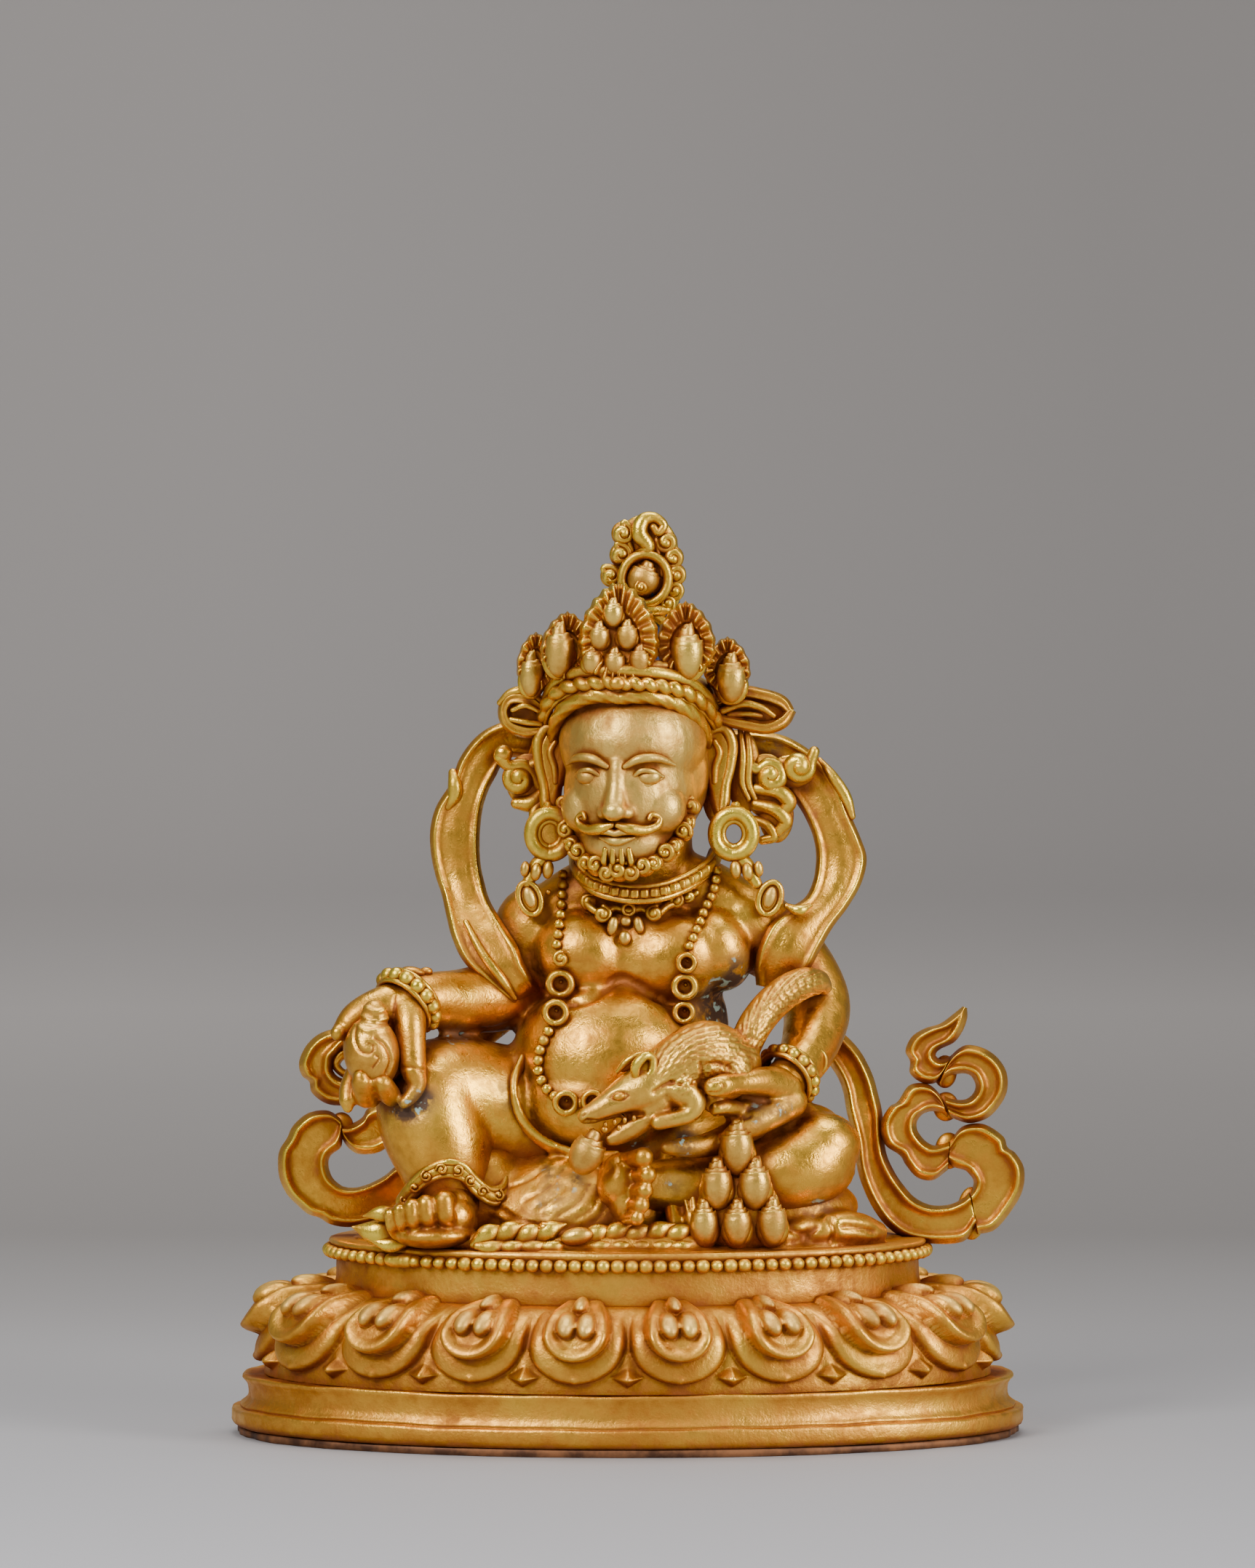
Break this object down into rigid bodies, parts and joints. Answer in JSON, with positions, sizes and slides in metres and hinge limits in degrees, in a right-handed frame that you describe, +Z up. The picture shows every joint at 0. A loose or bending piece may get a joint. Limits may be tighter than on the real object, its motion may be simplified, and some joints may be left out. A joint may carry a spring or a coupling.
{
  "type": "jambhala statue",
  "caption": "Small gilt statue of a stout seated deity with crown, scarf, mongoose and citron on an oval lotus base; stands by its own weight.",
  "frame": {"origin": "middle of the underside of the closing plate", "axes": "+Z up, +X to the viewer's right, the figure faces -Y"},
  "size_m": [0.086, 0.0516, 0.0999],
  "materials": {
    "gilt_figure": "satin fire gilding over cast copper alloy, darker orange in the hollows, worn paler on high spots",
    "gilt_base": "satin fire gilding, orange-brown in the hollows between the petals",
    "copper_plate": "dull dark brown copper sheet"
  },
  "bodies": {
    "root": {"figure": "gilt_figure", "lotus_base": "gilt_base", "base_plate": "copper_plate"}
  },
  "joints": []
}
